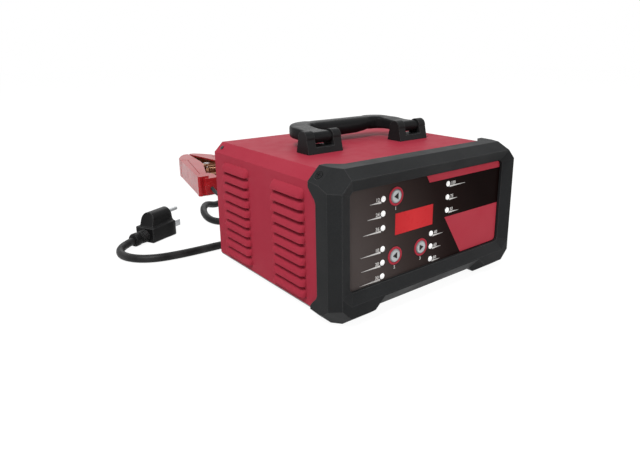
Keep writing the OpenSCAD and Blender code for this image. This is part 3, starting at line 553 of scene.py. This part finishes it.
def wound(centre, start_deg, radii, d, total_deg):
    """Points of a neat coil: lower turns from outside in, then upper turns from inside out."""
    lower = len(radii)
    points = []
    for i in range(1, int(total_deg / COIL_STEP)):
        angle = i * COIL_STEP
        turn, part = divmod(angle, 360)
        if turn < lower:
            here, after = radii[turn], radii[min(turn + 1, lower - 1)]
            r = here + (after - here) * change(part, LOWER_CHANGE)
            z = d / 2 + (d * change(part, LAYER_CLIMB) if turn == lower - 1 else 0)
        else:
            k = turn - lower
            here, after = radii[max(lower - 1 - k, 0)], radii[max(lower - 2 - k, 0)]
            r = here + (after - here) * change(part, UPPER_CHANGE)
            z = 1.5 * d
        a = math.radians(start_deg + angle)
        points.append((centre[0] + r * math.cos(a), centre[1] + r * math.sin(a),
                       z + COIL_CLEARANCE))
    return points


def smooth_route(points, steps):
    """A smooth curve through the points, with a number of steps between each two."""
    out = []
    last = len(points) - 1
    for i in range(last):
        a, b, c, d = (Vector(points[max(0, min(last, i + k))]) for k in (-1, 0, 1, 2))
        for k in range(steps):
            t = k / steps
            out.append(0.5 * (2 * b + (c - a) * t + (2 * a - 5 * b + 4 * c - d) * t * t
                              + (3 * b - a - 3 * c + d) * t ** 3))
    out.append(Vector(points[-1]))
    return out


def lead_curve(name, points, d, material):
    """A round lead as one smooth open curve, and its length in metres."""
    path = [p * MM for p in smooth_route(points, LEAD_STEPS)]
    data = bpy.data.curves.new(name, "CURVE")
    data.dimensions = "3D"
    data.bevel_depth = d / 2 * MM
    data.bevel_resolution = 5
    data.use_fill_caps = True
    spline = data.splines.new("POLY")
    spline.points.add(len(path) - 1)
    for point, place in zip(spline.points, path):
        point.co = (*place, 1)
    spline.use_smooth = True
    data.materials.append(material)
    obj = bpy.data.objects.new(name, data)
    bpy.context.scene.collection.objects.link(obj)
    length = sum((b - a).length for a, b in zip(path, path[1:]))
    return obj, length


def make_leads():
    """Both leads, each from its exit through its coil to what it ends in."""
    mains_radii = [MAINS_COIL_R + MAINS_D / 2, MAINS_COIL_R - MAINS_D / 2]
    mains = MAINS_START + wound(MAINS_COIL, 0, mains_radii, MAINS_D, MAINS_COIL_TURN) + MAINS_RUN
    cord, length = lead_curve("mains_lead_jacket", mains, MAINS_D, FINISHES["cord_black"])
    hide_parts("mains_lead_start", "mains_lead_coil", "mains_lead")
    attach(cord, "charger")
    lead_radii = [LEAD_COIL_R + LEAD_D, LEAD_COIL_R, LEAD_COIL_R - LEAD_D]
    lead = LEAD_START + wound(LEAD_COIL, -90, lead_radii, LEAD_D, LEAD_COIL_TURN) + LEAD_RUN
    cord, length = lead_curve("positive_lead_jacket", lead, LEAD_D, FINISHES["cord_grey"])
    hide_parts("positive_lead_start", "positive_lead_coil", "positive_lead")
    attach(cord, "charger")


# ---------------------------------------------------------------- small pieces

def mesh_object(name, bm, material, body):
    """Turns a bmesh in millimetres into a finished piece that rides on a body."""
    bmesh.ops.scale(bm, vec=(MM, MM, MM), verts=bm.verts)
    bmesh.ops.recalc_face_normals(bm, faces=bm.faces)
    data = bpy.data.meshes.new(name)
    bm.to_mesh(data)
    bm.free()
    data.materials.append(material)
    obj = bpy.data.objects.new(name, data)
    bpy.context.scene.collection.objects.link(obj)
    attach(obj, body)
    return obj


def prism(bm, outline, y0, y1):
    """A flat outline in X and Z, from y0 to y1."""
    front = [bm.verts.new((x, y0, z)) for x, z in outline]
    back = [bm.verts.new((x, y1, z)) for x, z in outline]
    bm.faces.new(front)
    bm.faces.new(list(reversed(back)))
    n = len(outline)
    for i in range(n):
        j = (i + 1) % n
        bm.faces.new((front[j], front[i], back[i], back[j]))


# The carry handle from above, as half of its centreline, from the right knuckle to mid grip
PIVOT_Y = -5.5
PIVOT_Z = 150.7
KNUCKLE_R = 5.8
KNUCKLE_W = 21.8
KNUCKLE_SQUARE = 9.0
# How far in front of the pivot each ring of a round knuckle end lies, as a share of its radius
KNUCKLE_DEPTHS = (0.995, 0.97, 0.92, 0.84, 0.72, 0.56, 0.38, 0.18)
HANDLE_LINE = [
    (61.7, PIVOT_Y), (61.7, 8), (61.7, 20), (60.6, 28.5), (56.8, 36), (50.8, 40.8),
    (44.5, 42.4), (38, 42.5), (28, 42.5), (14, 42.5), (0, 42.5),
]
# Along the half line: share of the way, width, height, squareness, height above the pivot
HANDLE_SECTIONS = [
    (0.00, KNUCKLE_W, 11.6, KNUCKLE_SQUARE, 0.0), (0.12, 21.8, 11.6, 7.0, 0.0),
    (0.30, 22.2, 13.2, 5.0, 0.7), (0.45, 22.8, 14.8, 4.2, 1.1), (0.57, 23.4, 15.2, 3.6, 1.0),
    (0.635, 21.6, 15.0, 2.8, 0.9), (0.70, 23.6, 16.8, 2.5, 0.2), (0.80, 25.4, 18.0, 2.3, -0.4),
    (1.00, 26.0, 18.4, 2.2, -0.6),
]
HANDLE_STEPS = 7
HANDLE_RING = 56


def between(table, t):
    """Values of a table at t, blended smoothly between its rows."""
    for (t0, *a), (t1, *b) in zip(table, table[1:]):
        if t <= t1:
            k = smooth_step((t - t0) / (t1 - t0))
            return [x + (y - x) * k for x, y in zip(a, b)]
    return table[-1][1:]


def oval_ring(middle, side, width, height, square):
    """Points of a rounded section that stands upright across the line."""
    points = []
    for k in range(HANDLE_RING):
        a = 2 * math.pi * k / HANDLE_RING
        c, s = math.cos(a), math.sin(a)
        x = width / 2 * math.copysign(abs(c) ** (2 / square), c)
        z = height / 2 * math.copysign(abs(s) ** (2 / square), s)
        points.append(middle + side * x + Vector((0, 0, z)))
    return points


def knuckle_rings(x, side):
    """The round front of one barrel end."""
    rings = []
    for deep in KNUCKLE_DEPTHS:
        middle = Vector((x, PIVOT_Y - KNUCKLE_R * deep, PIVOT_Z))
        high = 2 * KNUCKLE_R * math.sqrt(1 - deep * deep)
        rings.append(oval_ring(middle, side, KNUCKLE_W, high, KNUCKLE_SQUARE))
    return rings


def handle_rings():
    """Rings along the whole bar, from the right knuckle over the grip to the left one."""
    half = smooth_route([(x, y, 0) for x, y in HANDLE_LINE], HANDLE_STEPS)
    reach = [0.0]
    for a, b in zip(half, half[1:]):
        reach.append(reach[-1] + (b - a).length)
    shares = [r / reach[-1] for r in reach]
    line = half + [Vector((-p.x, p.y, 0)) for p in reversed(half[:-1])]
    shares += list(reversed(shares[:-1]))
    knuckle_x = HANDLE_LINE[0][0]
    rings = knuckle_rings(knuckle_x, Vector((1, 0, 0)))
    for i, at in enumerate(line):
        ahead = line[min(i + 1, len(line) - 1)] - line[max(i - 1, 0)]
        across = Vector((ahead.y, -ahead.x, 0)).normalized()
        width, height, square, lift = between(HANDLE_SECTIONS, shares[i])
        middle = Vector((at.x, at.y, PIVOT_Z + lift))
        rings.append(oval_ring(middle, across, width, height, square))
    rings += reversed(knuckle_rings(-knuckle_x, Vector((-1, 0, 0))))
    return rings


def skin(bm, rings):
    """Joins rings of equal count into a closed tube."""
    made = [[bm.verts.new(p) for p in ring] for ring in rings]
    n = len(made[0])
    for a, b in zip(made, made[1:]):
        for k in range(n):
            m = (k + 1) % n
            bm.faces.new((a[k], a[m], b[m], b[k]))
    bm.faces.new(list(reversed(made[0])))
    bm.faces.new(made[-1])


def smooth(obj):
    for face in obj.data.polygons:
        face.use_smooth = True


def carry_handle():
    """One moulded bar: two barrel ends, flat arms and a fuller grip."""
    bm = bmesh.new()
    skin(bm, handle_rings())
    obj = mesh_object("carry_handle", bm, FINISHES["handle_plastic"], "handle")
    smooth(obj)
    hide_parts("handle")


PLUG_AT = (-133.0, 239.5)
PLUG_TURN = 26
# The plug, from behind the hump to its face: place along it, then the width and height of
# the slab and the height of the hollow curve that runs up to the hump
PLUG_STATIONS = [
    (-27, 28.8, 19.2, 2.8), (-20, 28.9, 19.2, 3.4), (-15, 29.1, 19.4, 4.4),
    (-12.2, 29.6, 19.6, 5.6), (-9.5, 30.3, 19.9, 6.4), (-6, 30.6, 19.9, 6.6),
    (-0.7, 30.6, 19.9, 6.6),
]
PLUG_BACK = (28.8, 19.0, 2.4)
PLUG_BACK_X = -35.9
# Share of the hump's height at each ring of its leaning back, and the way between two rings
HUMP_RISES = (0.03, 0.1, 0.25, 0.45, 0.65, 0.82, 0.93, 0.98, 1.0)
HUMP_PITCH = 0.06
HUMP_R = 10.0
HUMP_Z = 26.6
HUMP_LEAN = math.tan(math.radians(17))
HUMP_DISH = 1.1
# Only rings behind this place lean
HUMP_BACK_END = -30
SOLE_R = 2.4
SLAB_EDGE_R = 1.3
PLUG_SHARP_ANGLE = 38


def fan(start, end, steps):
    """Angles in radians from start to end, both given in degrees."""
    return [math.radians(start + (end - start) * i / steps) for i in range(steps + 1)]


def quarter(x, z, r, steps):
    """A rounded corner about x and z, from its side to its top."""
    return [(x + r * math.cos(a), z + r * math.sin(a)) for a in fan(0, 90, steps)]


def plug_half(width, height, hollow):
    """Right half of a section, from mid sole over the slab and the hump to the top."""
    half = width / 2
    points = [(0, 0), (half * 0.5, 0)]
    points += [(half - SOLE_R + SOLE_R * math.sin(a), SOLE_R - SOLE_R * math.cos(a))
               for a in fan(0, 90, 4)]
    points += [(half, height * 0.5)]
    points += quarter(half - SLAB_EDGE_R, height - SLAB_EDGE_R, SLAB_EDGE_R, 4)
    run = half - SLAB_EDGE_R - HUMP_R
    points += [(HUMP_R + run * (1 - math.sin(a)), height + hollow * (1 - math.cos(a)))
               for a in fan(15, 90, 5)]
    points += quarter(0, HUMP_Z, HUMP_R, 10)
    return points


def plug_ring(x, station, rise=1.0, shrink=1.0):
    """One ring of the plug: rise flattens the hump, shrink draws the ring in at an end."""
    width, height, hollow = station
    points = []
    for y, z in plug_half(width, height, hollow):
        at = x
        if z > height:
            full = z - height
            z = height + full * rise
            if x < HUMP_BACK_END:
                rim = max(0.0, 1 - (abs(y) / HUMP_R) ** 2) * 4 * rise * (1 - rise)
                at = x + full * rise * HUMP_LEAN + HUMP_DISH * math.sqrt(rim)
        points.append((at, y * shrink, height / 2 + (z - height / 2) * shrink))
    left = [(at, -y, z) for at, y, z in reversed(points[1:-1])]
    turn = Matrix.Rotation(math.radians(PLUG_TURN), 3, "Z")
    return [turn @ Vector(p) + Vector((*PLUG_AT, 0)) for p in points + left]


def plug_moulding():
    """Slab for the blades with a round hump for the ground pin, its back dished for a finger."""
    rings = [plug_ring(-39.0, PLUG_BACK, 0.0, 0.95)]
    rings += [plug_ring(x, PLUG_BACK, 0.0) for x in (-38.2, -36.0)]
    for i, rise in enumerate(HUMP_RISES):
        rings.append(plug_ring(PLUG_BACK_X + HUMP_PITCH * i, PLUG_BACK, rise))
    rings += [plug_ring(x, station) for x, *station in PLUG_STATIONS]
    rings.append(plug_ring(0.0, PLUG_STATIONS[-1][1:], 1.0, 0.965))
    bm = bmesh.new()
    skin(bm, rings)
    obj = mesh_object("plug_moulding", bm, FINISHES["plug_black"], "charger")
    smooth(obj)
    obj.data.set_sharp_from_angle(angle=math.radians(PLUG_SHARP_ANGLE))
    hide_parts("plug_body")


# Prints on the panel, in millimetres
WHITE_INK = "#eeebe8"
ARROW_TIP = 3.0
ARROW_TAIL = 2.1
ARROW_HALF = 3.1
ARROW_FRONT = 1.24
ARROW_BACK = 0.8
STROKE_LENGTH = 16
STROKE_HEIGHT = 1.9
STROKE_TIP_R = 0.08
STROKE_FLATTEN = 0.12
LINE_SHIFT = 2.4
LINE_DROP = 2.7
LAMP_DIGITS = 3.3
BUTTON_DIGITS = 3.0
DIGIT_SHIFT = 4.2
DIGIT_DROP = 1.4
BUTTON_DIGIT_DROP = 12.8
# Size of the type for digits of height 1, how far it is thickened and its half depth
DIGIT_SIZE = 1.4
DIGIT_WEIGHT = 0.09
DIGIT_DEPTH = 0.015
MERGE_DIST = 0.0005


def button_arrows():
    """A flat triangle on each button cap."""
    ink = printed_ink("arrow_ink", "#1d1818")
    for name, (x, z, way) in BUTTONS.items():
        tip, tail = x + ARROW_TIP * way, x - ARROW_TAIL * way
        bm = bmesh.new()
        prism(bm, [(tip, z), (tail, z + ARROW_HALF), (tail, z - ARROW_HALF)],
              PANEL_Y - ARROW_FRONT, PANEL_Y - ARROW_BACK)
        mesh_object(name + "_arrow", bm, ink, name)


def stroke_tree():
    """Geometry Nodes that lay one tapered stroke on each point, as long as its side value says."""
    tree = bpy.data.node_groups.new("lamp_line_tree", "GeometryNodeTree")

    def socket(label, kind, way="INPUT"):
        return tree.interface.new_socket(label, in_out=way, socket_type="NodeSocket" + kind)

    socket("Geometry", "Geometry")
    socket("Stroke length", "Float").default_value = STROKE_LENGTH * MM
    socket("Stroke height", "Float").default_value = STROKE_HEIGHT * MM
    socket("Ink", "Material")
    socket("Geometry", "Geometry", "OUTPUT")
    nodes, link = tree.nodes, tree.links.new
    given = nodes.new("NodeGroupInput")
    out = nodes.new("NodeGroupOutput")

    cone = nodes.new("GeometryNodeMeshCone")
    cone.inputs["Vertices"].default_value = 4
    cone.inputs["Radius Top"].default_value = STROKE_TIP_R * MM
    halve = nodes.new("ShaderNodeMath")
    halve.operation = "MULTIPLY"
    halve.inputs[1].default_value = 0.5
    link(given.outputs["Stroke height"], halve.inputs[0])
    link(halve.outputs["Value"], cone.inputs["Radius Bottom"])
    link(given.outputs["Stroke length"], cone.inputs["Depth"])
    lay = nodes.new("GeometryNodeTransform")
    lay.inputs["Rotation"].default_value = (0, math.radians(90), 0)
    lay.inputs["Scale"].default_value = (1, STROKE_FLATTEN, 1)
    link(cone.outputs["Mesh"], lay.inputs["Geometry"])

    side = nodes.new("GeometryNodeInputNamedAttribute")
    side.data_type = "FLOAT"
    side.inputs["Name"].default_value = "side"
    stretch = nodes.new("ShaderNodeCombineXYZ")
    stretch.inputs["Y"].default_value = 1.0
    stretch.inputs["Z"].default_value = 1.0
    link(side.outputs["Attribute"], stretch.inputs["X"])
    copies = nodes.new("GeometryNodeInstanceOnPoints")
    link(given.outputs["Geometry"], copies.inputs["Points"])
    link(lay.outputs["Geometry"], copies.inputs["Instance"])
    link(stretch.outputs["Vector"], copies.inputs["Scale"])

    real = nodes.new("GeometryNodeRealizeInstances")
    ink = nodes.new("GeometryNodeSetMaterial")
    link(copies.outputs["Instances"], real.inputs["Geometry"])
    link(real.outputs["Geometry"], ink.inputs["Geometry"])
    link(given.outputs["Ink"], ink.inputs["Material"])
    link(ink.outputs["Geometry"], out.inputs["Geometry"])
    return tree


def finished_mesh(maker):
    """The evaluated mesh of a helper object, which is then removed."""
    graph = bpy.context.evaluated_depsgraph_get()
    made = bpy.data.meshes.new_from_object(maker.evaluated_get(graph))
    bpy.data.objects.remove(maker)
    return made


def lamp_lines():
    """Tapered line under each indicator, from one stroke and the lamps' places."""
    places = [(x - LINE_SHIFT, z - LINE_DROP, -long)
              for (x, z), long in zip(LEFT_LAMPS, LEFT_LINES)]
    places += [(x + LINE_SHIFT, z - LINE_DROP, long)
               for (x, z), long in zip(RIGHT_LAMPS, RIGHT_LINES)]
    seed = bpy.data.meshes.new("lamp_line_places")
    seed.from_pydata([(x * MM, PRINT_Y * MM, z * MM) for x, z, _ in places], [], [])
    attribute = seed.attributes.new("side", "FLOAT", "POINT")
    for item, (_, _, way) in zip(attribute.data, places):
        item.value = way
    maker = bpy.data.objects.new("lamp_line_maker", seed)
    bpy.context.scene.collection.objects.link(maker)
    modifier = maker.modifiers.new("lines", "NODES")
    modifier.node_group = stroke_tree()
    white = printed_ink("white_ink", WHITE_INK)
    for item in modifier.node_group.interface.items_tree:
        if item.item_type == "SOCKET" and item.in_out == "INPUT" and item.name == "Ink":
            modifier[item.identifier] = white
    made = finished_mesh(maker)
    bm = bmesh.new()
    bm.from_mesh(made)
    bmesh.ops.recalc_face_normals(bm, faces=bm.faces)
    bm.to_mesh(made)
    bm.free()
    obj = bpy.data.objects.new("lamp_lines", made)
    bpy.context.scene.collection.objects.link(obj)
    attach(obj, "charger")


def add_digits(bm, text, x, z, height, align):
    """Plain flat digits on the overlay, added to a mesh in millimetres."""
    data = bpy.data.curves.new("digits", "FONT")
    data.body = text
    data.size = height * DIGIT_SIZE
    data.align_x = align
    data.resolution_u = 3
    data.extrude = DIGIT_DEPTH
    data.offset = DIGIT_WEIGHT
    maker = bpy.data.objects.new("digits", data)
    bpy.context.scene.collection.objects.link(maker)
    made = finished_mesh(maker)
    made.transform(Matrix(((1, 0, 0, x), (0, 0, -1, PRINT_Y), (0, 1, 0, z), (0, 0, 0, 1))))
    bm.from_mesh(made)
    bpy.data.meshes.remove(made)


def panel_numbers():
    """Plain numbers beside the indicators and under the buttons."""
    bm = bmesh.new()
    for (x, z), text in zip(LEFT_LAMPS, LEFT_NUMBERS):
        add_digits(bm, text, x - DIGIT_SHIFT, z - DIGIT_DROP, LAMP_DIGITS, "RIGHT")
    for (x, z), text in zip(RIGHT_LAMPS, RIGHT_NUMBERS):
        add_digits(bm, text, x + DIGIT_SHIFT, z - DIGIT_DROP, LAMP_DIGITS, "LEFT")
    for i, (x, z, _) in enumerate(BUTTONS.values()):
        add_digits(bm, str(i + 1), x, z - BUTTON_DIGIT_DROP, BUTTON_DIGITS, "CENTER")
    bmesh.ops.remove_doubles(bm, verts=bm.verts, dist=MERGE_DIST)
    white = printed_ink("number_ink", WHITE_INK)
    mesh_object("panel_numbers", bm, white, "charger")


TIE_GAP = 0.3
TIE_THICKNESS = 0.7
TIE_CORNER_R = 3.0
TIE_FLOOR = 0.1


def tie_outline(across, high):
    """Points round a coil's section, each with its outward direction."""
    w, h, r = across / 2 + TIE_GAP, high + TIE_GAP, TIE_CORNER_R
    outline = []
    for x, z, start in ((w - r, h - r, 0), (-w + r, h - r, 90), (-w + r, r, 180), (w - r, r, 270)):
        for a in fan(start, start + 90, 4):
            outline.append((x + r * math.cos(a), z + r * math.sin(a), math.cos(a), math.sin(a)))
    return outline


def coil_tie(name, centre, angle, r, across, high, width):
    """A thin hook-and-loop strap round a coil."""
    outline = tie_outline(across, high)
    turn = Matrix.Rotation(math.radians(angle), 3, "Z")
    bm = bmesh.new()
    rings = []
    for side in (-width / 2, width / 2):
        for grow in (0.0, TIE_THICKNESS):
            floor = TIE_FLOOR + (TIE_THICKNESS - grow) * 0.1
            ring = []
            for x, z, nx, nz in outline:
                point = turn @ Vector((r + x + nx * grow, side, max(z + nz * grow, floor)))
                ring.append(bm.verts.new((centre[0] + point.x, centre[1] + point.y, point.z)))
            rings.append(ring)
    inner0, outer0, inner1, outer1 = rings
    n = len(outline)
    for i in range(n):
        j = (i + 1) % n
        for a, b in ((outer0, outer1), (inner1, inner0), (inner0, outer0), (outer1, inner1)):
            bm.faces.new((a[i], a[j], b[j], b[i]))
    mesh_object(name, bm, FINISHES["rubber_black"], "charger")


plug_moulding()
make_leads()
carry_handle()
button_arrows()
lamp_lines()
panel_numbers()
coil_tie("mains_coil_tie", MAINS_COIL, 150, MAINS_COIL_R,
         across=2 * MAINS_D, high=2 * MAINS_D, width=14)
coil_tie("positive_coil_tie", LEAD_COIL, 30, LEAD_COIL_R,
         across=3 * LEAD_D, high=2 * LEAD_D, width=12)


# ---------------------------------------------------------------- stage

# Strength of the light that the pieces receive from all round, and of the backdrop that is seen
AMBIENT = 0.33
BACKDROP = 1.0
FLOOR_GREY = (0.8, 0.8, 0.8, 1)
FLOOR_GLOW = 1.18
# Share of the glow in the floor that is seen
FLOOR_SHARE = 0.8
FLOOR_HALF = 6.0
FLOOR_DROP = 0.0004
# Name, place, aim, size in metres and power in watts
LAMPS = (
    ("key_lamp", (-0.95, -0.4, 1.6), (0, 0, 0.05), (0.6, 0.6), 21),
    ("rear_lamp", (0.6, 1.4, 1.2), (0, 0.1, 0.05), (1.2, 0.8), 6),
    ("front_lamp", (0.9, -1.3, 0.7), (0, 0, 0.06), (0.8, 0.8), 4),
)


def seen_mask(tree):
    """1 for rays that show a surface, straight or by reflection, 0 for rays that light it."""
    path = tree.nodes.new("ShaderNodeLightPath")
    total = path.outputs["Is Camera Ray"]
    for name in ("Is Glossy Ray", "Is Transmission Ray"):
        add = tree.nodes.new("ShaderNodeMath")
        add.operation = "MAXIMUM"
        tree.links.new(total, add.inputs[0])
        tree.links.new(path.outputs[name], add.inputs[1])
        total = add.outputs["Value"]
    return total


def blend_to_surface(tree, share, first, second, out_kind):
    mix = tree.nodes.new("ShaderNodeMixShader")
    out = tree.nodes.new(out_kind)
    tree.links.new(share, mix.inputs["Fac"])
    tree.links.new(first, mix.inputs[1])
    tree.links.new(second, mix.inputs[2])
    tree.links.new(mix.outputs["Shader"], out.inputs["Surface"])


def make_world():
    world = bpy.data.worlds.new("studio")
    bpy.context.scene.world = world
    world.use_nodes = True
    tree = world.node_tree
    tree.nodes.clear()
    shades = []
    for strength in (AMBIENT, BACKDROP):
        shade = tree.nodes.new("ShaderNodeBackground")
        shade.inputs["Color"].default_value = WHITE
        shade.inputs["Strength"].default_value = strength
        shades.append(shade.outputs["Background"])
    blend_to_surface(tree, seen_mask(tree), *shades, "ShaderNodeOutputWorld")


def make_floor():
    material = bpy.data.materials.new("studio_floor")
    material.use_nodes = True
    tree = material.node_tree
    tree.nodes.clear()
    matt = tree.nodes.new("ShaderNodeBsdfDiffuse")
    matt.inputs["Color"].default_value = FLOOR_GREY
    glow = tree.nodes.new("ShaderNodeEmission")
    glow.inputs["Strength"].default_value = FLOOR_GLOW
    share = tree.nodes.new("ShaderNodeMath")
    share.operation = "MULTIPLY"
    share.inputs[1].default_value = FLOOR_SHARE
    tree.links.new(seen_mask(tree), share.inputs[0])
    blend_to_surface(tree, share.outputs["Value"], matt.outputs["BSDF"], glow.outputs["Emission"],
                     "ShaderNodeOutputMaterial")
    data = bpy.data.meshes.new("studio_floor")
    s = FLOOR_HALF
    data.from_pydata([(-s, -s, 0), (s, -s, 0), (s, s, 0), (-s, s, 0)], [], [(0, 1, 2, 3)])
    data.materials.append(material)
    floor = bpy.data.objects.new("studio_floor", data)
    floor.location.z = -FLOOR_DROP
    bpy.context.scene.collection.objects.link(floor)


def area_lamp(name, place, aim, size, power):
    data = bpy.data.lights.new(name, "AREA")
    data.shape = "RECTANGLE"
    data.size, data.size_y = size
    data.energy = power
    lamp = bpy.data.objects.new(name, data)
    lamp.location = place
    lamp.rotation_euler = (Vector(aim) - Vector(place)).to_track_quat("-Z", "Y").to_euler()
    bpy.context.scene.collection.objects.link(lamp)


make_world()
make_floor()
for lamp in LAMPS:
    area_lamp(*lamp)

bpy.context.scene.view_settings.view_transform = "Standard"
